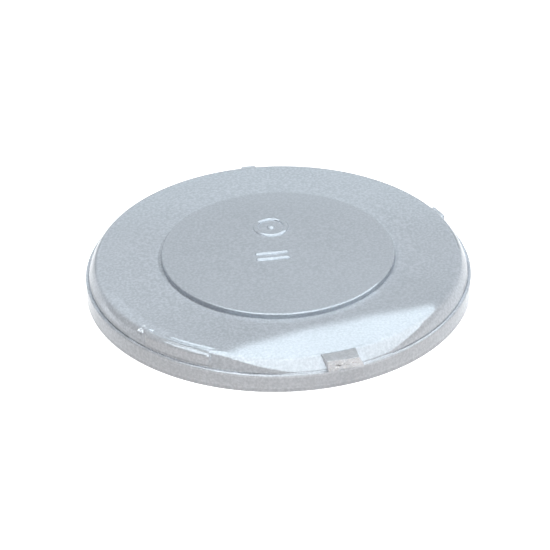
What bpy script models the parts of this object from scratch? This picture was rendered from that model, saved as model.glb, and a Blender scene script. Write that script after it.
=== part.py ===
"""Screw cover cap: one injection-moulded plastic disc, 18 mm across.

Frame: +Z up, origin at the centre of the flat underside, metres.
The section is turned: a flat underside, a thin flange, a narrow groove at the parting
line, a slightly bowed flank, a rounded shoulder, a gently crowned annulus and a slightly
raised centre disc.
Four flat-topped lugs stand on the shoulder, one of them a cut-off gate, and two small
plain location marks stand on the centre disc.
"""
import math

import bmesh
import bpy

MM = 0.001

# ---- driving dimensions (millimetres and degrees) ----
FLANGE_R = 9.0          # outer radius of the flange
FLANGE_H = 0.90         # height of the flange's top
FLANGE_EDGE = 0.07      # rounding of the flange's top edge
FOOT_EDGE = 0.03        # rounding of the bottom edge
GROOVE_OUT = 8.875      # outer radius of the parting-line groove's floor
GROOVE_IN = 8.855       # inner radius of the groove's floor
GROOVE_Z = 0.862        # height of the groove's floor
GROOVE_FRONT = 0.898    # height of its floor in front, where it all but closes
SAG = 0.014             # how far the dome's edge sags at the left lug
SAG_FROM = 8.30         # radius at which the sag begins
SAG_WIDTH = 0.06        # width over which it builds up
WALL_R = 8.86           # radius of the shoulder at its foot
SHOULDER = 0.27         # radius of the rounding between dome and flank
SHOULDER_TILT = 58.0    # tilt at which the rounding passes into the flank, degrees from level
FLANK_TILT = 70.0       # tilt of the flank at its foot
FLANK_FOOT = 0.96       # height of the flank's foot above the underside
STEP_R = 5.456          # radius of the raised centre disc
ANNULUS_Z = 1.742       # height of the annulus where it meets the centre disc
CROWN = 0.0065          # slope of the annulus per millimetre of radius
STEP_H = 0.255          # height of the centre disc above the annulus
STEP_EDGE = 0.07        # rounding of the disc's top edge
STEP_ROOT = 0.012        # rounding in the corner at the disc's foot
DISC_CROWN = 0.0045     # slope of the centre disc per millimetre of radius
SEGMENTS = 112          # facets round the turned section

# lugs on the shoulder: radius and end angles of the outer and the inner edge, top height
LUG_LEFT = dict(outer=8.855, outer_ends=(-134.5, -111.2), inner=8.36, inner_ends=(-137.2, -112.2), top=1.578)
LUG_BACK = dict(outer=8.82, outer_ends=(96.5, 101.1), inner=8.36, inner_ends=(96.5, 101.1), top=1.510)
LUG_SIDE = dict(outer=8.80, outer_ends=(26.2, 32.6), inner=8.36, inner_ends=(26.2, 32.6), top=1.490)
# the gate: a stub with a slanting cut face that leans in towards its foot
GATE_TOP = 1.585
GATE_FOOT = 0.805
GATE_CORNERS_TOP = [(1.85, -8.293), (2.161, -8.924), (3.650, -8.604), (3.455, -7.603)]
GATE_CORNERS_FOOT = [(1.97, -8.19), (2.25, -8.72), (3.90, -8.13), (3.56, -7.48)]

# marks on the centre disc
MARK_H = 0.075          # how far the marks stand proud
MARK_W = 0.22           # width of a stroke
RING_AT = (-0.32, 2.16)
RING_R = 0.72
BAR_LEN = 1.62
BAR_GAP = 0.48
BARS_AT = (-0.27, -0.40)
BARS_TURN = 8.0         # degrees


def clear_scene():
    for ob in list(bpy.data.objects):
        bpy.data.objects.remove(ob, do_unlink=True)


def arc(cx, cz, r, a0, a1, n):
    """Points on a circle arc in the (radius, height) plane; angles from +Z, clockwise."""
    pts = []
    for i in range(n + 1):
        a = math.radians(a0 + (a1 - a0) * i / n)
        pts.append((cx + r * math.sin(a), cz + r * math.cos(a)))
    return pts


def annulus_z(r):
    return ANNULUS_Z - 0.5 * CROWN * (r * r - STEP_R * STEP_R)


def disc_z(r):
    top = ANNULUS_Z + STEP_H
    return top + 0.5 * DISC_CROWN * (STEP_R * STEP_R - r * r)


def rounding(r):
    """Tilt of the dome at radius r, and the bow radius of the flank that ends at the flank's foot."""
    tilt = math.degrees(math.atan(CROWN * r))
    c0, c1, c2 = (math.cos(math.radians(v)) for v in (tilt, SHOULDER_TILT, FLANK_TILT))
    return tilt, (annulus_z(r) - SHOULDER * (c0 - c1) - FLANK_FOOT) / (c1 - c2)


def dome_edge():
    """Radius at which the dome turns into the shoulder, so that the flank's foot lies on WALL_R."""
    s1, s2 = (math.sin(math.radians(v)) for v in (SHOULDER_TILT, FLANK_TILT))
    r = WALL_R - 0.5
    for _ in range(30):
        tilt, flank = rounding(r)
        r = WALL_R - SHOULDER * (s1 - math.sin(math.radians(tilt))) - flank * (s2 - s1)
    return r


def section():
    """Half section from the axis at the bottom, out round the rim, to the axis at the top."""
    pts = [(0.0, 0.0), (4.5, 0.0)]
    c = FLANGE_R - FOOT_EDGE
    pts += arc(c, FOOT_EDGE, FOOT_EDGE, 180.0, 90.0, 3)
    c = FLANGE_R - FLANGE_EDGE
    pts += arc(c, FLANGE_H - FLANGE_EDGE, FLANGE_EDGE, 90.0, 0.0, 3)
    pts += [(GROOVE_OUT, GROOVE_Z), (GROOVE_IN, GROOVE_Z)]
    r1 = dome_edge()
    tilt, flank = rounding(r1)
    z1 = annulus_z(r1)
    turn, end = math.radians(tilt), math.radians(FLANK_TILT)
    pts += arc(WALL_R - flank * math.sin(end), FLANK_FOOT - flank * math.cos(end), flank, FLANK_TILT, SHOULDER_TILT, 3)
    pts += arc(r1 - SHOULDER * math.sin(turn), z1 - SHOULDER * math.cos(turn), SHOULDER, SHOULDER_TILT, tilt, 5)[1:]
    inner = STEP_R + STEP_ROOT
    for k in (1, 2, 3):
        r = r1 + (inner - r1) * k / 4.0
        pts.append((r, annulus_z(r)))
    za = annulus_z(inner)
    pts += arc(inner, za + STEP_ROOT, STEP_ROOT, 180.0, 270.0, 2)
    rt = STEP_R - STEP_EDGE
    pts += arc(rt, disc_z(rt) - STEP_EDGE, STEP_EDGE, 90.0, 0.0, 3)
    pts += [(3.6, disc_z(3.6)), (1.8, disc_z(1.8)), (0.0, disc_z(0.0))]
    return pts


def window(v, low, high, fade):
    """1 between low and high, easing to 0 over the fade width outside them."""
    t = min(1.0, max(0.0, min(v - low, high - v) / fade + 1.0))
    return t * t * (3.0 - 2.0 * t)


def settle(phi, r, z):
    """Section point at bearing phi: the groove closes up in front, the dome's edge sags at the left lug."""
    if GROOVE_IN - 0.01 < r < GROOVE_OUT + 0.012 and GROOVE_Z - 0.001 < z < FLANK_FOOT - 0.001:
        w = window(phi, 273.0, 303.0, 9.0)
        if z < FLANGE_H:
            r2, z2 = GROOVE_IN + 0.033 + (r - GROOVE_IN) * 0.55, GROOVE_FRONT
        else:
            r2, z2 = WALL_R + (FLANK_FOOT - z) / math.tan(math.radians(FLANK_TILT)), z
        return r + (r2 - r) * w, z + (z2 - z) * w
    if z > 1.45 and r > SAG_FROM:
        return r, z - SAG * window(phi, 227.0, 247.0, 3.0) * min(1.0, (r - SAG_FROM) / SAG_WIDTH)
    return r, z


def turned(name, pts, segments):
    """Spin the half section round Z into one closed body."""
    bm = bmesh.new()
    rings = []
    for r, z in pts:
        if r < 1e-6:
            rings.append([bm.verts.new((0.0, 0.0, z * MM))])
            continue
        ring_points = []
        for k in range(segments):
            a = 2 * math.pi * k / segments
            q, h = settle(math.degrees(a), r, z)
            ring_points.append(bm.verts.new((q * MM * math.cos(a), q * MM * math.sin(a), h * MM)))
        rings.append(ring_points)
    for low, high in zip(rings, rings[1:]):
        for k in range(segments):
            n = (k + 1) % segments
            if len(low) == 1:
                bm.faces.new((low[0], high[n], high[k]))
            elif len(high) == 1:
                bm.faces.new((low[k], low[n], high[0]))
            else:
                bm.faces.new((low[k], low[n], high[n], high[k]))
    bmesh.ops.recalc_face_normals(bm, faces=bm.faces)
    mesh = bpy.data.meshes.new(name)
    bm.to_mesh(mesh)
    bm.free()
    ob = bpy.data.objects.new(name, mesh)
    bpy.context.scene.collection.objects.link(ob)
    return ob


def prism(name, top, z_top, foot, z_foot):
    """Closed block between a top and a foot outline with the same number of corners."""
    bm = bmesh.new()
    up = [bm.verts.new((x * MM, y * MM, z_top * MM)) for x, y in top]
    dn = [bm.verts.new((x * MM, y * MM, z_foot * MM)) for x, y in foot]
    bm.faces.new(up)
    bm.faces.new(list(reversed(dn)))
    n = len(up)
    for k in range(n):
        bm.faces.new((up[k], dn[k], dn[(k + 1) % n], up[(k + 1) % n]))
    bmesh.ops.recalc_face_normals(bm, faces=bm.faces)
    mesh = bpy.data.meshes.new(name)
    bm.to_mesh(mesh)
    bm.free()
    ob = bpy.data.objects.new(name, mesh)
    bpy.context.scene.collection.objects.link(ob)
    return ob


def lug(name, outer, outer_ends, inner, inner_ends, top, foot=1.05):
    """Curved block that fills the shoulder's rounding out to a flat top."""
    steps = max(2, round(abs(outer_ends[1] - outer_ends[0]) / 2.5))
    outline = []
    for k in range(steps + 1):
        a = math.radians(outer_ends[0] + (outer_ends[1] - outer_ends[0]) * k / steps)
        outline.append((outer * math.cos(a), outer * math.sin(a)))
    for k in range(steps, -1, -1):
        a = math.radians(inner_ends[0] + (inner_ends[1] - inner_ends[0]) * k / steps)
        outline.append((inner * math.cos(a), inner * math.sin(a)))
    return prism(name, outline, top, outline, foot)


def join_to(body, tool):
    mod = body.modifiers.new("union_" + tool.name, "BOOLEAN")
    mod.operation = "UNION"
    mod.solver = "EXACT"
    mod.object = tool
    tool.hide_render = True
    tool.display_type = "WIRE"
    return mod


def apply_modifiers(body):
    deps = bpy.context.evaluated_depsgraph_get()
    deps.update()
    mesh = bpy.data.meshes.new_from_object(body.evaluated_get(deps))
    body.modifiers.clear()
    body.data = mesh


def bar(name, cx, cy, length, width, turn):
    """Short raised bar with round ends, standing on the centre disc."""
    a = math.radians(turn)
    pts = []
    half = length / 2.0 - width / 2.0
    for side, start in ((1.0, -90.0), (-1.0, 90.0)):
        for k in range(5):
            t = math.radians(start + 45.0 * k)
            x = side * half + width / 2.0 * math.cos(t)
            y = width / 2.0 * math.sin(t)
            pts.append((cx + x * math.cos(a) - y * math.sin(a),
                        cy + x * math.sin(a) + y * math.cos(a)))
    middle = disc_z(0.0)
    shrink = [((px - cx) * 0.96 + cx, (py - cy) * 0.96 + cy) for px, py in pts]
    r = math.hypot(cx, cy)
    return prism(name, shrink, disc_z(r) + MARK_H, pts, middle - 0.25)


def ring(name, cx, cy, r, width):
    """Raised plain ring on the centre disc."""
    bm = bmesh.new()
    n = 28
    top = disc_z(math.hypot(cx, cy)) + MARK_H
    low = disc_z(0.0) - 0.25
    prof = [(r - width / 2, low), (r + width / 2, low), (r + width / 2 - 0.02, top),
            (r - width / 2 + 0.02, top)]
    loops = []
    for k in range(n):
        a = 2 * math.pi * k / n
        loops.append([bm.verts.new(((cx + q * math.cos(a)) * MM, (cy + q * math.sin(a)) * MM, z * MM))
                      for q, z in prof])
    for k in range(n):
        a, b = loops[k], loops[(k + 1) % n]
        for j in range(4):
            bm.faces.new((a[j], b[j], b[(j + 1) % 4], a[(j + 1) % 4]))
    bmesh.ops.recalc_face_normals(bm, faces=bm.faces)
    mesh = bpy.data.meshes.new(name)
    bm.to_mesh(mesh)
    bm.free()
    ob = bpy.data.objects.new(name, mesh)
    bpy.context.scene.collection.objects.link(ob)
    return ob


def plastic():
    """Cool light grey moulded plastic."""
    mat = bpy.data.materials.new("grey_plastic")
    mat.use_nodes = True
    bsdf = mat.node_tree.nodes["Principled BSDF"]
    bsdf.inputs["Base Color"].default_value = (0.46, 0.47, 0.49, 1.0)
    bsdf.inputs["Roughness"].default_value = 0.25
    bsdf.inputs["Metallic"].default_value = 0.0
    return mat


def build():
    clear_scene()
    cap = turned("cover_cap", section(), SEGMENTS)
    tools = [
        lug("guide_lug_left", **LUG_LEFT),
        lug("guide_lug_back", **LUG_BACK),
        lug("guide_lug_side", **LUG_SIDE),
        prism("guide_gate", GATE_CORNERS_TOP, GATE_TOP, GATE_CORNERS_FOOT, GATE_FOOT),
    ]
    t = math.radians(BARS_TURN)
    for k, side in enumerate((-0.5, 0.5)):
        cx = BARS_AT[0] - side * BAR_GAP * math.sin(t)
        cy = BARS_AT[1] + side * BAR_GAP * math.cos(t)
        tools.append(bar("guide_bar_%d" % (k + 1), cx, cy, BAR_LEN, MARK_W, BARS_TURN))
    tools.append(ring("guide_ring", RING_AT[0], RING_AT[1], RING_R, MARK_W))
    tools.append(bar("guide_dot", RING_AT[0], RING_AT[1], MARK_W * 1.6, MARK_W * 1.5, 0.0))
    for tool in tools:
        join_to(cap, tool)
    apply_modifiers(cap)
    for tool in tools:
        bpy.data.objects.remove(tool, do_unlink=True)
    cap.data.materials.clear()
    cap.data.materials.append(plastic())
    cap.data.shade_smooth()
    cap.data.set_sharp_from_angle(angle=math.radians(32.0))
    return cap


build()
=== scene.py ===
"""Looks of the screw cover cap: the moulded piece in detail, its plastic, the pale floor and a soft studio light."""
import math

import bmesh
import bpy
from mathutils import Matrix, Vector, noise


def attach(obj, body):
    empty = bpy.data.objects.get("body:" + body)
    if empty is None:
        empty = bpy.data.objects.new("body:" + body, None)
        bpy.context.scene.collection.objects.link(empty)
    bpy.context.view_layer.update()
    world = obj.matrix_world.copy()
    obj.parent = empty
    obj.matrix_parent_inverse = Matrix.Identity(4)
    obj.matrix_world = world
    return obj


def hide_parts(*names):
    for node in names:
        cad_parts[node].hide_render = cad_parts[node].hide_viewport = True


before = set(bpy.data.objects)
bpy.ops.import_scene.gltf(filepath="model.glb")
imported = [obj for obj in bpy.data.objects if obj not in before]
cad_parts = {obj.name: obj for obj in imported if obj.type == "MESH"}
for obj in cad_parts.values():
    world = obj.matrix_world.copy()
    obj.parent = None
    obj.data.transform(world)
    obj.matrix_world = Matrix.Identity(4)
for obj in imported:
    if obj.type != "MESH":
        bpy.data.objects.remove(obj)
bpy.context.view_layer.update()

MM = 0.001

# ---------------------------------------------------------------- driving sizes (mm, degrees)
FLANGE_R = 9.0
FLANGE_H = 0.90
FLANGE_EDGE = 0.07
FOOT_EDGE = 0.03
GROOVE_IN = 8.855
GROOVE_OUT = 8.875
GROOVE_Z = 0.862
GROOVE_FRONT = 0.898
SAG = 0.014
SAG_FROM = 8.30
SAG_WIDTH = 0.06
WALL_R = 8.86
SHOULDER = 0.27
SHOULDER_TILT = 58.0
FLANK_TILT = 70.0
FLANK_FOOT = 0.96
STEP_R = 5.456
ANNULUS_Z = 1.742
CROWN = 0.0065
STEP_H = 0.255
STEP_EDGE = 0.07
STEP_ROOT = 0.012
DISC_CROWN = 0.0045
COLUMNS = 540

LUG_LEFT = dict(outer=8.855, outer_ends=(-134.5, -111.2), inner=8.36, inner_ends=(-137.2, -112.2), top=1.578, edge=0.15)
LUG_BACK = dict(outer=8.82, outer_ends=(96.5, 101.1), inner=8.36, inner_ends=(96.5, 101.1), top=1.510, edge=0.09)
LUG_SIDE = dict(outer=8.80, outer_ends=(26.2, 32.6), inner=8.36, inner_ends=(26.2, 32.6), top=1.490, edge=0.07)

GATE_TOP = 1.585
GATE_FOOT = 0.805
GATE_CORNERS_TOP = [(1.85, -8.293), (2.161, -8.924), (3.650, -8.604), (3.455, -7.603)]
GATE_CORNERS_FOOT = [(1.97, -8.19), (2.25, -8.72), (3.90, -8.13), (3.56, -7.48)]

# crumbs at the left lug: place and size
BURRS = [(-6.226, -5.65, 1.6, 0.06),
         (-6.46, -5.745, 1.425, 0.08),
         (-6.325, -5.867, 1.445, 0.085),
         (-6.371, -5.745, 1.505, 0.05)]

# patches of painted light and shade: (bearing from, to, fade), (height from, to, fade), (radius from, to, fade),
# measured from the far side, factor
PAINTED_LIGHT_AND_SHADE = [((186.0, 200.0, 6.0), (0.90, 1.06, 0.06), (8.70, 8.90, 0.02), False, 0.72),
         ((204.0, 217.0, 4.0), (0.86, 1.05, 0.04), (8.70, 8.95, 0.02), False, 0.86),
         ((168.0, 180.0, 5.0), (0.90, 1.06, 0.06), (8.70, 8.90, 0.02), True, 0.76),
         ((204.0, 222.0, 5.0), (1.17, 1.29, 0.05), (8.60, 8.90, 0.02), False, 1.20),
         ((164.0, 184.0, 5.0), (1.40, 1.57, 0.05), (8.45, 8.75, 0.02), False, 0.82),
         ((187.0, 196.0, 4.0), (1.48, 1.59, 0.04), (8.45, 8.75, 0.02), True, 0.82),
         ((187.0, 198.0, 4.0), (0.90, 1.22, 0.05), (8.70, 8.90, 0.02), True, 1.18),
         ((228.0, 257.0, 4.0), (0.86, 0.96, 0.02), (8.84, 8.90, 0.01), False, 1.28),
         ((232.0, 302.0, 6.0), (0.77, 0.86, 0.03), (8.94, 9.10, 0.02), False, 1.14),
         ((172.0, 214.0, 14.0), (1.50, 1.80, 0.05), (5.60, 8.45, 0.10), False, 1.055),
         ((205.0, 230.0, 8.0), (1.50, 1.66, 0.03), (8.10, 8.46, 0.15), False, 1.09),
         ((234.0, 243.0, 3.0), (1.50, 1.66, 0.03), (8.34, 8.55, 0.02), False, 0.80),
         ((288.0, 340.0, 12.0), (1.50, 1.80, 0.05), (5.60, 8.45, 0.10), False, 0.945),
         ((248.0, 284.0, 12.0), (1.50, 1.80, 0.05), (5.60, 7.40, 0.30), False, 0.965),
         ((66.0, 114.0, 30.0), (1.90, 2.30, 0.05), (3.00, 5.35, 1.20), False, 0.955),
         ((281.0, 296.0, 2.0), (1.575, 1.60, 0.008), (7.50, 9.00, 0.05), False, 0.95),
         ((183.0, 202.0, 5.0), (0.00, 0.66, 0.08), (8.95, 9.10, 0.02), False, 0.85),
         ((255.0, 300.0, 8.0), (0.00, 0.74, 0.03), (8.94, 9.10, 0.02), False, 0.965),
         ((146.0, 196.0, 8.0), (1.50, 2.10, 0.05), (5.43, 5.59, 0.05), False, 0.83),
         ((175.0, 192.0, 6.0), (1.50, 2.10, 0.05), (5.46, 5.60, 0.05), False, 0.94),
         ((165.0, 188.0, 6.0), (1.50, 2.10, 0.05), (5.46, 5.60, 0.04), True, 0.87),
         ((202.0, 344.0, 6.0), (1.50, 2.10, 0.05), (5.47, 5.515, 0.035), False, 0.82)]

MARK_H = 0.075
MARK_HALF = 0.125
RING_AT = (-0.32, 2.16)
RING_R = 0.72
BAR_LEN = 1.62
BAR_GAP = 0.48
BARS_AT = (-0.27, -0.40)
BARS_TURN = 8.0


# ---------------------------------------------------------------- camera
def make_camera():
    elevation = math.radians(31.775)
    roll = math.radians(0.962)
    aim = Vector((-0.159, 0.0, 0.749)) * MM
    distance = 360.0 * MM
    back = Vector((0.0, -math.cos(elevation), math.sin(elevation)))
    right0 = Vector((1.0, 0.0, 0.0))
    up0 = back.cross(right0)
    right = right0 * math.cos(roll) - up0 * math.sin(roll)
    up = right0 * math.sin(roll) + up0 * math.cos(roll)
    place = aim + back * distance
    data = bpy.data.cameras.new("camera")
    data.sensor_width = 36.0
    data.sensor_fit = "HORIZONTAL"
    data.lens = 7703.2 / 550.0 * 36.0
    data.clip_start = 0.01
    data.clip_end = 20.0
    cam = bpy.data.objects.new("camera", data)
    cam.matrix_world = Matrix((
        (right.x, up.x, back.x, place.x),
        (right.y, up.y, back.y, place.y),
        (right.z, up.z, back.z, place.z),
        (0.0, 0.0, 0.0, 1.0)))
    bpy.context.scene.collection.objects.link(cam)
    bpy.context.scene.camera = cam
    return cam


# ---------------------------------------------------------------- section
def arc(cx, cz, r, a0, a1, n, ease=1.0):
    """Points on a circle arc in the (radius, height) plane; angles from +Z, clockwise; ease above 1 packs points near a1."""
    pts = []
    for i in range(n + 1):
        t = 1.0 - (1.0 - i / n) ** ease
        a = math.radians(a0 + (a1 - a0) * t)
        pts.append((cx + r * math.sin(a), cz + r * math.cos(a)))
    return pts


def annulus_z(r):
    return ANNULUS_Z - 0.5 * CROWN * (r * r - STEP_R * STEP_R)


def disc_z(r):
    return ANNULUS_Z + STEP_H + 0.5 * DISC_CROWN * (STEP_R * STEP_R - r * r)


def rounding(r):
    """Where the dome turns down: its tilt in degrees, and the flank's bow radius that ends at the flank's foot."""
    tilt = math.degrees(math.atan(CROWN * r))
    c0, c1, c2 = (math.cos(math.radians(v)) for v in (tilt, SHOULDER_TILT, FLANK_TILT))
    return tilt, (annulus_z(r) - SHOULDER * (c0 - c1) - FLANK_FOOT) / (c1 - c2)


def dome_edge():
    """Radius at which the dome meets the shoulder, so that the flank ends on the wall's radius."""
    s1, s2 = (math.sin(math.radians(v)) for v in (SHOULDER_TILT, FLANK_TILT))
    r = WALL_R - 0.5
    for _ in range(30):
        tilt, flank = rounding(r)
        r = WALL_R - SHOULDER * (s1 - math.sin(math.radians(tilt))) - flank * (s2 - s1)
    return r


def section():
    """Half section from the axis at the bottom, out round the rim, to the axis at the top."""
    pts = [(0.0, 0.0), (3.0, 0.0), (6.0, 0.0), (8.0, 0.0), (8.8, 0.0)]
    c = FLANGE_R - FOOT_EDGE
    pts += arc(c, FOOT_EDGE, FOOT_EDGE, 180.0, 90.0, 6)
    for k in (1, 2, 3, 4, 5):
        pts.append((FLANGE_R, FOOT_EDGE + (FLANGE_H - FLANGE_EDGE - FOOT_EDGE) * k / 6.0))
    c = FLANGE_R - FLANGE_EDGE
    pts += arc(c, FLANGE_H - FLANGE_EDGE, FLANGE_EDGE, 90.0, 0.0, 6)
    pts += [(GROOVE_OUT + 0.009, FLANGE_H - 0.009), (GROOVE_OUT + 0.003, GROOVE_Z + 0.006), (GROOVE_OUT - 0.003, GROOVE_Z),
            (GROOVE_IN + 0.003, GROOVE_Z), (GROOVE_IN, GROOVE_Z + 0.004)]
    r1 = dome_edge()
    tilt, flank = rounding(r1)
    z1 = annulus_z(r1)
    turn = math.radians(tilt)
    end = math.radians(FLANK_TILT)
    pts += [(WALL_R - 0.0015, FLANK_FOOT - 0.055), (WALL_R, FLANK_FOOT - 0.018), (WALL_R, FLANK_FOOT - 0.004)]
    pts += arc(WALL_R - flank * math.sin(end), FLANK_FOOT - flank * math.cos(end), flank, FLANK_TILT, SHOULDER_TILT, 14)
    pts += arc(r1 - SHOULDER * math.sin(turn), z1 - SHOULDER * math.cos(turn), SHOULDER, SHOULDER_TILT, tilt, 16, 1.2)[1:]
    inner = STEP_R + STEP_ROOT
    for s in (0.01, 0.03, 0.08, 0.18, 0.4, 0.8, 1.25, 1.7, 2.15, 2.5, 2.75, 2.86, 2.90):
        r = r1 - s
        if r > inner + 0.02:
            pts.append((r, annulus_z(r)))
    pts.append((inner + 0.015, annulus_z(inner + 0.015)))
    za = annulus_z(inner)
    pts += arc(inner, za + STEP_ROOT, STEP_ROOT, 180.0, 270.0, 5)
    rt = STEP_R - STEP_EDGE
    pts += arc(rt, disc_z(rt) - STEP_EDGE, STEP_EDGE, 90.0, 0.0, 9, 1.2)
    pts += [(r, disc_z(r)) for r in (rt - 0.01, rt - 0.03, rt - 0.1, rt - 0.3, 4.5, 3.7, 2.8, 1.9, 1.0, 0.4, 0.0)]
    return pts


def window(v, low, high, fade):
    """1 between low and high, easing to 0 over the fade width outside them."""
    t = min(1.0, max(0.0, min(v - low, high - v) / fade + 1.0))
    return t * t * (3.0 - 2.0 * t)


def settle(phi, r, z):
    """Section point at bearing phi: the groove closes up in front, the dome's edge sags at the left lug."""
    if GROOVE_IN - 0.01 < r < GROOVE_OUT + 0.012 and GROOVE_Z - 0.001 < z < FLANK_FOOT - 0.001:
        w = window(phi, 273.0, 303.0, 9.0)
        if z < FLANGE_H:
            r2, z2 = GROOVE_IN + 0.033 + (r - GROOVE_IN) * 0.55, GROOVE_FRONT
        else:
            r2, z2 = WALL_R + (FLANK_FOOT - z) / math.tan(math.radians(FLANK_TILT)), z
        return r + (r2 - r) * w, z + (z2 - z) * w
    if z > 1.45 and r > SAG_FROM:
        return r, z - SAG * window(phi, 227.0, 247.0, 3.0) * min(1.0, (r - SAG_FROM) / SAG_WIDTH)
    return r, z


def mesh_object(name, bm):
    bmesh.ops.recalc_face_normals(bm, faces=bm.faces)
    mesh = bpy.data.meshes.new(name)
    bm.to_mesh(mesh)
    bm.free()
    ob = bpy.data.objects.new(name, mesh)
    bpy.context.scene.collection.objects.link(ob)
    return ob


def turned(name, pts, columns):
    bm = bmesh.new()
    rings = []
    for r, z in pts:
        if r < 1e-6:
            rings.append([bm.verts.new((0.0, 0.0, z * MM))])
            continue
        ring_points = []
        for k in range(columns):
            a = 2 * math.pi * k / columns
            q, h = settle(math.degrees(a), r, z)
            ring_points.append(bm.verts.new((q * MM * math.cos(a), q * MM * math.sin(a), h * MM)))
        rings.append(ring_points)
    for low, high in zip(rings, rings[1:]):
        for k in range(columns):
            n = (k + 1) % columns
            if len(low) == 1:
                bm.faces.new((low[0], high[n], high[k]))
            elif len(high) == 1:
                bm.faces.new((low[k], low[n], high[0]))
            else:
                bm.faces.new((low[k], low[n], high[n], high[k]))
    return mesh_object(name, bm)


# ---------------------------------------------------------------- blocks that are fused onto the turned body
def block(name, top, z_top, foot, z_foot, edge, torn_side=None):
    """Prism with rounded upper and upright edges; torn_side names the upright face that is a torn cut."""
    bm = bmesh.new()
    up = [bm.verts.new((x * MM, y * MM, z_top * MM)) for x, y in top]
    dn = [bm.verts.new((x * MM, y * MM, z_foot * MM)) for x, y in foot]
    bm.faces.new(up)
    bm.faces.new(list(reversed(dn)))
    n = len(up)
    sides = []
    for k in range(n):
        sides.append(bm.faces.new((up[k], dn[k], dn[(k + 1) % n], up[(k + 1) % n])))
    bmesh.ops.recalc_face_normals(bm, faces=bm.faces)
    corners = []
    for k in range(n):
        a, b = sides[k - 1].normal, sides[k].normal
        e = next(e for e in up[k].link_edges if dn[k] in e.verts)
        if a.angle(b) > math.radians(20):
            corners.append(e)
    rim = [e for e in bm.edges if up[0] in e.verts or all(v in up for v in e.verts)]
    rim = [e for e in bm.edges if all(v in up for v in e.verts)]
    bmesh.ops.bevel(bm, geom=rim + corners, offset=edge * MM, segments=4, profile=0.5, affect="EDGES")
    if torn_side is not None:
        direction = Vector(torn_side).normalized()
        face = max(bm.faces, key=lambda f: f.calc_area() if f.normal.dot(direction) > 0.9 else 0.0)
        normal = face.normal.copy()
        edges = list(face.edges)
        before = {v for v in face.verts}
        bmesh.ops.subdivide_edges(bm, edges=edges, cuts=26, use_grid_fill=True)
        for v in bm.verts:
            if v in before:
                continue
            if all(f.normal.dot(normal) > 0.98 for f in v.link_faces):
                p = v.co / MM
                d = 0.022 * noise.noise(p * 5.0) + 0.016 * noise.noise(p * 13.0 + Vector((3.0, 1.0, 7.0)))
                d += 0.008 * noise.noise(p * 31.0)
                v.co += normal * (d - 0.008) * MM
    return mesh_object(name, bm)


def lug(name, outer, outer_ends, inner, inner_ends, top, edge, foot=1.03):
    steps = max(6, round(abs(outer_ends[1] - outer_ends[0]) / 1.0))
    outline = []
    for k in range(steps + 1):
        a = math.radians(outer_ends[0] + (outer_ends[1] - outer_ends[0]) * k / steps)
        outline.append((outer * math.cos(a), outer * math.sin(a)))
    for k in range(steps, -1, -1):
        a = math.radians(inner_ends[0] + (inner_ends[1] - inner_ends[0]) * k / steps)
        outline.append((inner * math.cos(a), inner * math.sin(a)))
    return block(name, outline, top, outline, foot, edge)


def ring(name, cx, cy, radius, half, height):
    """Raised ring with a low rounded back, half sunk in the disc."""
    bm = bmesh.new()
    around, across = 56, 16
    z = disc_z(math.hypot(cx, cy))
    loops = []
    for i in range(around):
        a = 2 * math.pi * i / around
        loops.append([bm.verts.new(((cx + (radius + half * math.cos(b)) * math.cos(a)) * MM,
                                    (cy + (radius + half * math.cos(b)) * math.sin(a)) * MM,
                                    (z + height * math.sin(b) - 0.003) * MM))
                      for b in [2 * math.pi * j / across for j in range(across)]])
    for i in range(around):
        n = (i + 1) % around
        for j in range(across):
            m = (j + 1) % across
            bm.faces.new((loops[i][j], loops[n][j], loops[n][m], loops[i][m]))
    return mesh_object(name, bm)


def dot(name, cx, cy, radius, height):
    bm = bmesh.new()
    bmesh.ops.create_uvsphere(bm, u_segments=24, v_segments=12, radius=1.0)
    z = disc_z(math.hypot(cx, cy))
    for v in bm.verts:
        v.co = Vector(((cx + v.co.x * radius) * MM, (cy + v.co.y * radius) * MM, (z + v.co.z * height) * MM))
    return mesh_object(name, bm)


def bar(name, cx, cy, length, half_width, height, turn):
    """Raised bar with round ends and a low rounded back, half sunk in the disc."""
    bm = bmesh.new()
    a = math.radians(turn)
    z = disc_z(math.hypot(cx, cy)) - 0.003
    across, cap = 16, 6
    half = length / 2.0 - half_width
    lift = height / half_width
    rings = []
    stations = [(-half - half_width * math.cos(math.pi * i / 2 / cap), half_width * math.sin(math.pi * i / 2 / cap)) for i in range(1, cap + 1)]
    stations += [(-half + 2 * half * i / 8.0, half_width) for i in range(1, 8)]
    stations += [(-s, q) for s, q in reversed(stations[:cap])]
    def at(s, y, h):
        return Vector(((cx + s * math.cos(a) - y * math.sin(a)) * MM, (cy + s * math.sin(a) + y * math.cos(a)) * MM, (z + h) * MM))
    for s, q in stations:
        rings.append([bm.verts.new(at(s, q * math.cos(b), q * lift * math.sin(b)))
                      for b in [2 * math.pi * j / across for j in range(across)]])
    first = bm.verts.new(at(-half - half_width, 0.0, 0.0))
    last = bm.verts.new(at(half + half_width, 0.0, 0.0))
    for low, high in zip(rings, rings[1:]):
        for j in range(across):
            m = (j + 1) % across
            bm.faces.new((low[j], low[m], high[m], high[j]))
    for j in range(across):
        m = (j + 1) % across
        bm.faces.new((first, rings[0][m], rings[0][j]))
        bm.faces.new((last, rings[-1][j], rings[-1][m]))
    return mesh_object(name, bm)


def burr(name, x, y, z, size):
    """Small ragged crumb of plastic."""
    bm = bmesh.new()
    bmesh.ops.create_icosphere(bm, subdivisions=3, radius=1.0)
    at = Vector((x, y, z))
    for v in bm.verts:
        bulge = 1.0 + 0.35 * noise.noise(v.co * 1.7 + at * 3.0)
        v.co = (at + Vector((v.co.x, v.co.y, v.co.z * 0.8)) * size * bulge) * MM
    return mesh_object(name, bm)


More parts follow.
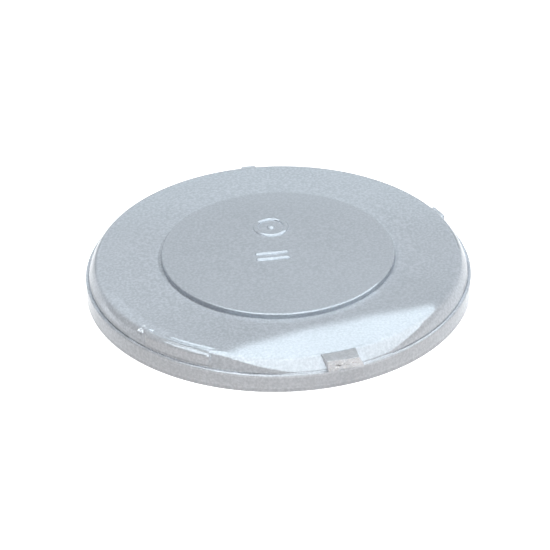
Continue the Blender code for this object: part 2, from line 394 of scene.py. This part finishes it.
def fuse(body, tools):
    for tool in tools:
        mod = body.modifiers.new("fuse_" + tool.name, "BOOLEAN")
        mod.operation = "UNION"
        mod.solver = "EXACT"
        mod.object = tool
    deps = bpy.context.evaluated_depsgraph_get()
    deps.update()
    mesh = bpy.data.meshes.new_from_object(body.evaluated_get(deps))
    body.modifiers.clear()
    body.data = mesh
    for tool in tools:
        bpy.data.objects.remove(tool, do_unlink=True)


# ---------------------------------------------------------------- plastic
def plastic():
    mat = bpy.data.materials.new("grey_plastic")
    mat.use_nodes = True
    nt = mat.node_tree
    bsdf = next(n for n in nt.nodes if n.type == "BSDF_PRINCIPLED")
    bsdf.inputs["IOR"].default_value = 1.5
    coord = nt.nodes.new("ShaderNodeTexCoord")

    def noise_at(scale, detail, rough=0.5, distort=0.0):
        n = nt.nodes.new("ShaderNodeTexNoise")
        n.inputs["Scale"].default_value = scale
        n.inputs["Detail"].default_value = detail
        n.inputs["Roughness"].default_value = rough
        n.inputs["Distortion"].default_value = distort
        nt.links.new(coord.outputs["Object"], n.inputs["Vector"])
        return n

    def mix_color(fac, a, b):
        m = nt.nodes.new("ShaderNodeMix")
        m.data_type = "RGBA"
        if isinstance(fac, float):
            m.inputs["Factor"].default_value = fac
        else:
            nt.links.new(fac, m.inputs["Factor"])
        for sock, value in ((m.inputs["A"], a), (m.inputs["B"], b)):
            if isinstance(value, tuple):
                sock.default_value = value
            else:
                nt.links.new(value, sock)
        return m.outputs["Result"]

    def ramp(value, lo, hi, to_lo=0.0, to_hi=1.0):
        m = nt.nodes.new("ShaderNodeMapRange")
        m.inputs["From Min"].default_value = lo
        m.inputs["From Max"].default_value = hi
        m.inputs["To Min"].default_value = to_lo
        m.inputs["To Max"].default_value = to_hi
        nt.links.new(value, m.inputs["Value"])
        return m.outputs["Result"]

    def scale_color(color, factor):
        m = nt.nodes.new("ShaderNodeVectorMath")
        m.operation = "SCALE"
        nt.links.new(color, m.inputs[0])
        nt.links.new(factor, m.inputs["Scale"])
        return m.outputs["Vector"]

    def calc(op, a, b=0.0):
        m = nt.nodes.new("ShaderNodeMath")
        m.operation = op
        for sock, value in zip(m.inputs, (a, b)):
            if isinstance(value, float):
                sock.default_value = value
            else:
                nt.links.new(value, sock)
        return m.outputs["Value"]

    # where on the cap: radius, height and bearing, in millimetres
    place = nt.nodes.new("ShaderNodeSeparateXYZ")
    nt.links.new(coord.outputs["Object"], place.inputs["Vector"])
    px, py, pz = (calc("MULTIPLY", place.outputs[k], 1000.0) for k in ("X", "Y", "Z"))
    radius = calc("SQRT", calc("ADD", calc("MULTIPLY", px, px), calc("MULTIPLY", py, py)))

    bearing = calc("MODULO", calc("ADD", calc("MULTIPLY", calc("ARCTAN2", py, px), 57.29578), 360.0), 360.0)
    opposite = calc("MODULO", calc("ADD", bearing, 180.0), 360.0)

    def span(value, low, high, fade):
        """1 between low and high, falling to 0 over the fade width outside them."""
        return calc("MINIMUM", ramp(value, low - fade, low), ramp(value, high + fade, high))

    def patch(turn_span, height_span, radius_span, angle=None):
        area = calc("MULTIPLY", span(angle or bearing, *turn_span), span(pz, *height_span))
        return calc("MULTIPLY", area, span(radius, *radius_span))

    # colour: a cool light grey with faint clouding and a fine speckle, stronger on the grained annulus
    cloud = noise_at(260.0, 3.0)
    speck = noise_at(8500.0, 2.0)
    base = mix_color(ramp(cloud.outputs["Fac"], 0.35, 0.65), (0.424, 0.439, 0.473, 1.0), (0.448, 0.464, 0.500, 1.0))
    on_annulus = calc("MAXIMUM", ramp(radius, STEP_R - 0.01, STEP_R + 0.03), ramp(pz, 0.3, 0.2))
    amount = calc("MULTIPLY", ramp(speck.outputs["Fac"], 0.38, 0.66), ramp(on_annulus, 0.0, 1.0, 0.75, 1.0))
    base = mix_color(amount, base, (0.540, 0.558, 0.598, 1.0))
    # painted light: the flank of the shoulder is a little paler; painted shade: the riser of the step is a little
    # greyer on the right
    low = calc("MULTIPLY", ramp(radius, 8.45, 8.60), ramp(pz, 0.92, 0.97))
    base = scale_color(base, ramp(low, 0.0, 1.0, 1.0, 1.07))
    riser = calc("MULTIPLY", ramp(radius, STEP_R + 0.03, STEP_R + 0.005), ramp(radius, STEP_R - 0.02, STEP_R - 0.004))
    riser = calc("MULTIPLY", riser, ramp(pz, 1.0, 1.2))
    to_right = calc("DIVIDE", calc("ADD", calc("MULTIPLY", px, 0.80), calc("MULTIPLY", py, -0.60)), radius)
    painted_shade_right_riser = calc("MULTIPLY", riser, ramp(to_right, 0.2, 0.8))
    base = scale_color(base, ramp(painted_shade_right_riser, 0.0, 1.0, 1.0, 0.80))
    # painted shade at the root of the step, strongest on the left in front
    root = calc("MULTIPLY", span(radius, STEP_R - 0.012, STEP_R + 0.045, 0.025), ramp(pz, 1.0, 1.2))
    base = mix_color(calc("MULTIPLY", calc("MULTIPLY", root, span(bearing, 206.0, 238.0, 14.0)), 0.24), base, (0.10, 0.088, 0.085, 1.0))
    # painted light and shade on the rim: in front it is tinted less blue than the top, and it is a little greyer on the
    # left in front
    painted_rim_tint = nt.nodes.new("ShaderNodeVectorMath")
    painted_rim_tint.operation = "MULTIPLY"
    painted_rim_tint.inputs[1].default_value = (1.02, 0.985, 0.955)
    nt.links.new(base, painted_rim_tint.inputs[0])
    base = mix_color(calc("MULTIPLY", ramp(radius, 8.50, 8.60), span(bearing, 226.0, 318.0, 26.0)), base, painted_rim_tint.outputs["Vector"])
    turn = calc("DIVIDE", calc("ADD", calc("MULTIPLY", px, -0.777), calc("MULTIPLY", py, -0.629)), radius)
    shade = calc("MULTIPLY", ramp(radius, 8.50, 8.62), ramp(turn, 0.80, 0.98))
    base = scale_color(base, ramp(shade, 0.0, 1.0, 1.0, 0.88))
    # the flange's foot: a painted pale highlight line over a darker hem of painted shade
    foot = calc("MULTIPLY", ramp(radius, 8.90, 8.94), ramp(pz, 0.19, 0.15))
    base = scale_color(base, ramp(foot, 0.0, 1.0, 1.0, 0.90))
    painted_foot_highlight = calc("MULTIPLY", calc("MULTIPLY", ramp(radius, 8.90, 8.94), ramp(pz, 0.30, 0.26)), ramp(pz, 0.18, 0.21))
    base = scale_color(base, ramp(painted_foot_highlight, 0.0, 1.0, 1.0, 1.05))
    # fitted patches of painted light and shade on the rim, the dome and the step, for one view; they are not dirt or
    # wear
    for turn_span, height_span, radius_span, angle, factor in PAINTED_LIGHT_AND_SHADE:
        area = patch(turn_span, height_span, radius_span, opposite if angle else bearing)
        base = scale_color(base, ramp(area, 0.0, 1.0, 1.0, factor))

    def near(x, y, z, size):
        """1 at a spot on the cap, falling to 0 at the given distance, millimetres."""
        d = nt.nodes.new("ShaderNodeVectorMath")
        d.operation = "DISTANCE"
        nt.links.new(coord.outputs["Object"], d.inputs[0])
        d.inputs[1].default_value = (x * MM, y * MM, z * MM)
        return ramp(d.outputs["Value"], size * MM, size * MM * 0.55)

    # the torn face of the gate: stained streaks, painted shade for a dark pit, and bright crumbs
    on_gate = calc("MULTIPLY", calc("MULTIPLY", ramp(px, 2.12, 2.2), ramp(px, 3.95, 3.85)), ramp(radius, 8.93, 8.98))
    on_gate = calc("MULTIPLY", on_gate, calc("MULTIPLY", ramp(py, -8.0, -8.05), ramp(pz, 0.86, 0.92)))
    face = calc("MULTIPLY", on_gate, ramp(pz, 1.575, 1.555))
    streak = noise_at(5200.0, 3.0, 0.6, 0.6)
    base = mix_color(calc("MULTIPLY", face, ramp(streak.outputs["Fac"], 0.40, 0.62, 0.0, 0.45)), base, (0.42, 0.375, 0.345, 1.0))
    crumb = noise_at(7600.0, 1.0)
    base = mix_color(calc("MULTIPLY", face, ramp(crumb.outputs["Fac"], 0.56, 0.68, 0.0, 0.6)), base, (0.74, 0.73, 0.73, 1.0))
    def torn(x, z):
        top_y, foot_y = -8.924 + (x - 2.161) * 0.215, -8.72 + (x - 2.25) * 0.3576
        return foot_y + (top_y - foot_y) * (z - GATE_FOOT) / (GATE_TOP - GATE_FOOT)

    base = scale_color(base, ramp(face, 0.0, 1.0, 1.0, 1.07))
    # the first four dark spots are painted shade of a pit; the others are stains
    for x, z, size, depth, stain_and_pit_shade in (
            (2.58, 1.25, 0.045, 0.6, (0.09, 0.08, 0.075)), (2.66, 1.22, 0.065, 0.9, (0.09, 0.08, 0.075)),
            (2.73, 1.175, 0.065, 0.95, (0.08, 0.07, 0.065)), (2.79, 1.15, 0.04, 0.7, (0.09, 0.08, 0.075)),
            (2.96, 1.22, 0.06, 0.40, (0.24, 0.25, 0.22)), (3.06, 1.17, 0.06, 0.45, (0.22, 0.23, 0.20)),
            (3.16, 1.12, 0.06, 0.40, (0.24, 0.25, 0.22)), (3.37, 1.22, 0.075, 0.50, (0.30, 0.21, 0.22)),
            (3.47, 1.21, 0.065, 0.45, (0.30, 0.21, 0.22))):
        base = mix_color(calc("MULTIPLY", near(x, torn(x, z), z, size), depth), base, stain_and_pit_shade + (1.0,))
    for x, z, size in ((2.86, 1.285, 0.07), (2.58, 1.07, 0.075), (2.68, 1.09, 0.05), (3.27, 1.27, 0.05)):
        base = mix_color(calc("MULTIPLY", near(x, torn(x, z), z, size), 0.85), base, (0.86, 0.85, 0.84, 1.0))

    # painted highlight on the burrs at the left end of the left lug
    for x, y, z, size in BURRS:
        base = mix_color(near(x, y, z, size * 1.5), base, (0.80, 0.81, 0.84, 1.0))
    nt.links.new(base, bsdf.inputs["Base Color"])

    # gloss: nearly mirror-smooth, a little duller in patches
    gloss = noise_at(900.0, 3.0)
    nt.links.new(ramp(gloss.outputs["Fac"], 0.3, 0.7, 0.012, 0.03), bsdf.inputs["Roughness"])

    glint = noise_at(15000.0, 2.0, 0.6)
    sheen = ramp(glint.outputs["Fac"], 0.3, 0.7, 0.24, 0.78)
    edge = patch((270.0, 334.0, 8.0), (0.86, 0.92, 0.02), (8.91, 9.02, 0.01))
    sheen = calc("MULTIPLY", sheen, ramp(edge, 0.0, 1.0, 1.0, 0.58))
    dull_left = patch((150.0, 200.0, 8.0), (1.34, 1.60, 0.06), (8.40, 8.80, 0.02))
    dull_right = patch((163.0, 200.0, 6.0), (1.40, 1.60, 0.05), (8.40, 8.75, 0.02), opposite)
    dull_lug = patch((226.0, 247.5, 1.0), (1.555, 1.60, 0.01), (8.45, 8.56, 0.015))
    for dull in (dull_left, dull_right, dull_lug):
        sheen = calc("MULTIPLY", sheen, ramp(dull, 0.0, 1.0, 1.0, 0.42))
    nt.links.new(sheen, bsdf.inputs["Specular IOR Level"])

    # relief: slow waviness of the moulding, then the spark-eroded grain
    slow = noise_at(330.0, 1.0)
    grain = noise_at(13000.0, 2.0, 0.6)
    b1 = nt.nodes.new("ShaderNodeBump")
    b1.inputs["Strength"].default_value = 1.0
    b1.inputs["Distance"].default_value = 1.6e-6
    nt.links.new(slow.outputs["Fac"], b1.inputs["Height"])
    b2 = nt.nodes.new("ShaderNodeBump")
    b2.inputs["Strength"].default_value = 1.0
    b2.inputs["Distance"].default_value = 3.0e-7
    nt.links.new(grain.outputs["Fac"], b2.inputs["Height"])
    nt.links.new(b1.outputs["Normal"], b2.inputs["Normal"])
    nt.links.new(b2.outputs["Normal"], bsdf.inputs["Normal"])
    return mat


# ---------------------------------------------------------------- the cap
def make_cap():
    body = turned("cover_cap_visual", section(), COLUMNS)
    a = math.radians(BARS_TURN)
    across = Vector((-math.sin(a), math.cos(a))) * BAR_GAP / 2.0
    front = (Vector((GATE_CORNERS_TOP[2][1], -GATE_CORNERS_TOP[2][0])) - Vector((GATE_CORNERS_TOP[1][1], -GATE_CORNERS_TOP[1][0])))
    tools = [
        lug("lug_left", **LUG_LEFT),
        lug("lug_back", **LUG_BACK),
        lug("lug_side", **LUG_SIDE),
        block("gate", GATE_CORNERS_TOP, GATE_TOP, GATE_CORNERS_FOOT, GATE_FOOT, 0.022, (front.x, front.y, 0.0)),
        ring("ring", RING_AT[0], RING_AT[1], RING_R, MARK_HALF, MARK_H),
        dot("dot", RING_AT[0], RING_AT[1], 0.19, MARK_H),
        bar("bar_upper", BARS_AT[0] + across.x, BARS_AT[1] + across.y, BAR_LEN, MARK_HALF, MARK_H, BARS_TURN),
        bar("bar_lower", BARS_AT[0] - across.x, BARS_AT[1] - across.y, BAR_LEN, MARK_HALF, MARK_H, BARS_TURN),
    ]
    tools += [burr("burr_%d" % (k + 1), *spot) for k, spot in enumerate(BURRS)]
    fuse(body, tools)
    mesh = body.data
    mesh.materials.clear()
    mesh.materials.append(plastic())
    mesh.shade_smooth()
    for p in mesh.polygons:
        p.material_index = 0
        if p.normal.z > 0.9995 and 1.35 * MM < p.center.z < 1.65 * MM:
            p.use_smooth = False
    mesh.set_sharp_from_angle(angle=math.radians(35.0))
    soft = body.modifiers.new("flat_faces_first", "WEIGHTED_NORMAL")
    soft.mode = "FACE_AREA"
    soft.weight = 50
    soft.keep_sharp = True
    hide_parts("cover_cap")
    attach(body, "root")
    return body


# ---------------------------------------------------------------- floor and light
FLOOR_GLOW = 1.18


def make_stage():
    # the floor is left open under the cap, inside its footprint, so that the underside can be looked at
    bm = bmesh.new()
    around = 128
    rings = [[bm.verts.new((r * math.cos(2 * math.pi * k / around), r * math.sin(2 * math.pi * k / around), 0.0))
              for k in range(around)] for r in (8.85 * MM, 0.02, 0.08, 0.4, 1.5, 5.6)]
    for low, high in zip(rings, rings[1:]):
        for k in range(around):
            n = (k + 1) % around
            bm.faces.new((low[k], high[k], high[n], low[n]))
    floor = mesh_object("floor", bm)
    if floor.data.polygons[0].normal.z < 0:
        floor.data.flip_normals()
    mat = bpy.data.materials.new("floor_white")
    mat.use_nodes = True
    bsdf = next(n for n in mat.node_tree.nodes if n.type == "BSDF_PRINCIPLED")
    bsdf.inputs["Base Color"].default_value = (0.30, 0.30, 0.30, 1.0)
    bsdf.inputs["Roughness"].default_value = 0.9
    bsdf.inputs["Specular IOR Level"].default_value = 0.1
    bsdf.inputs["Emission Color"].default_value = (1.0, 1.0, 1.0, 1.0)
    bsdf.inputs["Emission Strength"].default_value = FLOOR_GLOW
    floor.data.materials.append(mat)


# corners of the mirrored light as (x, y) over the height above the cap
SOFTBOX = [(-0.035, 1.268), (0.104, 1.393), (0.132, 1.422), (0.178, 1.324), (0.36, 1.064), (0.58, 0.874), (0.92, 0.735),
           (1.5, 0.68), (2.6, 0.60), (4.7, 0.10), (7.0, -1.9), (15.5, -7.4), (0.91, -6.9), (-0.27, -4.05), (-0.70, -2.45),
           (-0.93, -1.62), (-0.45, 0.40)]
SOFTBOX_GLOW = (5.9, 10.2)      # at its back edge, and in front
SOFTBOX_RIGHT = 0.82            # how far it fades towards the right
SOFTBOX_TINT = (0.80, 0.95, 1.06)
KEY_POWER = 16.4
KEY_TINT = (0.95, 1.01, 1.035)
KEY_FROM = (0.0, 0.0, 1.0)


def glow_material(name, tint, strength):
    mat = bpy.data.materials.new(name)
    mat.use_nodes = True
    nt = mat.node_tree
    nt.nodes.clear()
    glow = nt.nodes.new("ShaderNodeEmission")
    glow.inputs["Color"].default_value = (tint[0], tint[1], tint[2], 1.0)
    coord = nt.nodes.new("ShaderNodeTexCoord")
    split = nt.nodes.new("ShaderNodeSeparateXYZ")
    grade = nt.nodes.new("ShaderNodeMapRange")
    grade.inputs["From Min"].default_value = 1.15
    grade.inputs["From Max"].default_value = 0.1
    grade.inputs["To Min"].default_value = strength[0]
    grade.inputs["To Max"].default_value = strength[1]
    nt.links.new(coord.outputs["Object"], split.inputs["Vector"])
    nt.links.new(split.outputs["Y"], grade.inputs["Value"])
    side = nt.nodes.new("ShaderNodeMapRange")
    side.inputs["From Min"].default_value = 0.1
    side.inputs["From Max"].default_value = 1.2
    side.inputs["To Min"].default_value = 1.0
    side.inputs["To Max"].default_value = SOFTBOX_RIGHT
    nt.links.new(split.outputs["X"], side.inputs["Value"])
    both = nt.nodes.new("ShaderNodeMath")
    both.operation = "MULTIPLY"
    nt.links.new(grade.outputs["Result"], both.inputs[0])
    nt.links.new(side.outputs["Result"], both.inputs[1])
    nt.links.new(both.outputs["Value"], glow.inputs["Strength"])
    out = nt.nodes.new("ShaderNodeOutputMaterial")
    nt.links.new(glow.outputs["Emission"], out.inputs["Surface"])
    return mat


PALE = (0.96, 1.0, 1.05)
BLUE = (0.80, 1.0, 1.12)
# brightness of the walls over the sine of the height above the horizon, behind the cap, to its right and elsewhere
ROOM_BACK = [(0.0, 0.02, BLUE), (0.30, 0.02, BLUE), (0.42, 0.90, BLUE), (0.46, 0.75, BLUE), (0.50, 0.10, BLUE), (0.68, 0.10, BLUE), (1.0, 0.02, BLUE)]
ROOM_RIGHT = [(0.0, 2.0, PALE), (0.12, 0.20, PALE), (0.30, 0.02, BLUE), (1.0, 0.02, BLUE)]
ROOM_DIM = 0.02


def make_room():
    """Dark studio: a pale wall behind, a bright strip at floor height on the right, dim everywhere else."""
    world = bpy.data.worlds.new("room")
    world.use_nodes = True
    nt = world.node_tree
    bg = next(n for n in nt.nodes if n.type == "BACKGROUND")
    coord = nt.nodes.new("ShaderNodeTexCoord")
    split = nt.nodes.new("ShaderNodeSeparateXYZ")
    nt.links.new(coord.outputs["Generated"], split.inputs["Vector"])

    def math_node(op, a, b):
        m = nt.nodes.new("ShaderNodeMath")
        m.operation = op
        for sock, value in zip(m.inputs, (a, b)):
            if isinstance(value, float):
                sock.default_value = value
            else:
                nt.links.new(value, sock)
        return m.outputs["Value"]

    x, y, z = (split.outputs[k] for k in ("X", "Y", "Z"))
    level = math_node("ADD", math_node("ADD", math_node("MULTIPLY", x, x), math_node("MULTIPLY", y, y)), 1e-6)
    total = None
    for stops, axis in ((ROOM_BACK, y), (ROOM_RIGHT, x)):
        ramp = nt.nodes.new("ShaderNodeValToRGB")
        nt.links.new(z, ramp.inputs["Fac"])
        el = ramp.color_ramp.elements
        while len(el) > 1:
            el.remove(el[-1])
        el[0].position = stops[0][0]
        el[0].color = tuple(stops[0][1] * c / 3.0 for c in stops[0][2]) + (1.0,)
        for pos, value, tint in stops[1:]:
            e = el.new(pos)
            e.color = tuple(value * c / 3.0 for c in tint) + (1.0,)
        side = math_node("MAXIMUM", axis, 0.0)
        share = math_node("MULTIPLY", math_node("DIVIDE", math_node("MULTIPLY", side, side), level), 3.0)
        scaled = nt.nodes.new("ShaderNodeVectorMath")
        scaled.operation = "SCALE"
        nt.links.new(ramp.outputs["Color"], scaled.inputs[0])
        nt.links.new(share, scaled.inputs["Scale"])
        if total is None:
            total = scaled.outputs["Vector"]
        else:
            add = nt.nodes.new("ShaderNodeVectorMath")
            add.operation = "ADD"
            nt.links.new(total, add.inputs[0])
            nt.links.new(scaled.outputs["Vector"], add.inputs[1])
            total = add.outputs["Vector"]
    base = nt.nodes.new("ShaderNodeVectorMath")
    base.operation = "ADD"
    base.inputs[1].default_value = (ROOM_DIM, ROOM_DIM, ROOM_DIM)
    nt.links.new(total, base.inputs[0])
    nt.links.new(base.outputs["Vector"], bg.inputs["Color"])
    bpy.context.scene.world = world


def make_lights():
    bm = bmesh.new()
    rim = []
    for x, y in SOFTBOX:
        d = Vector((x, y, 1.0)).normalized() * 1.5
        rim.append(bm.verts.new(d))
    middle = bm.verts.new(Vector((0.6, -0.4, 1.0)).normalized() * 1.5)
    for a, b in zip(rim, rim[1:] + rim[:1]):
        bm.faces.new((a, b, middle))
    panel = mesh_object("softbox", bm)
    panel.data.materials.append(glow_material("softbox_glow", SOFTBOX_TINT, SOFTBOX_GLOW))
    panel.visible_camera = False
    panel.visible_diffuse = False
    panel.visible_shadow = False
    key = bpy.data.lights.new("key", "AREA")
    key.shape = "DISK"
    key.size = 0.9
    key.energy = KEY_POWER
    key.color = KEY_TINT
    key_ob = bpy.data.objects.new("key", key)
    place = Vector(KEY_FROM).normalized() * 1.2
    key_ob.matrix_world = Matrix.Translation(place) @ place.to_track_quat("Z", "Y").to_matrix().to_4x4()
    key_ob.visible_glossy = False
    key_ob.visible_camera = False
    bpy.context.scene.collection.objects.link(key_ob)
    make_room()


bpy.context.scene.view_settings.view_transform = "Standard"
make_camera()
make_cap()
make_stage()
make_lights()

bpy.context.view_layer.update()
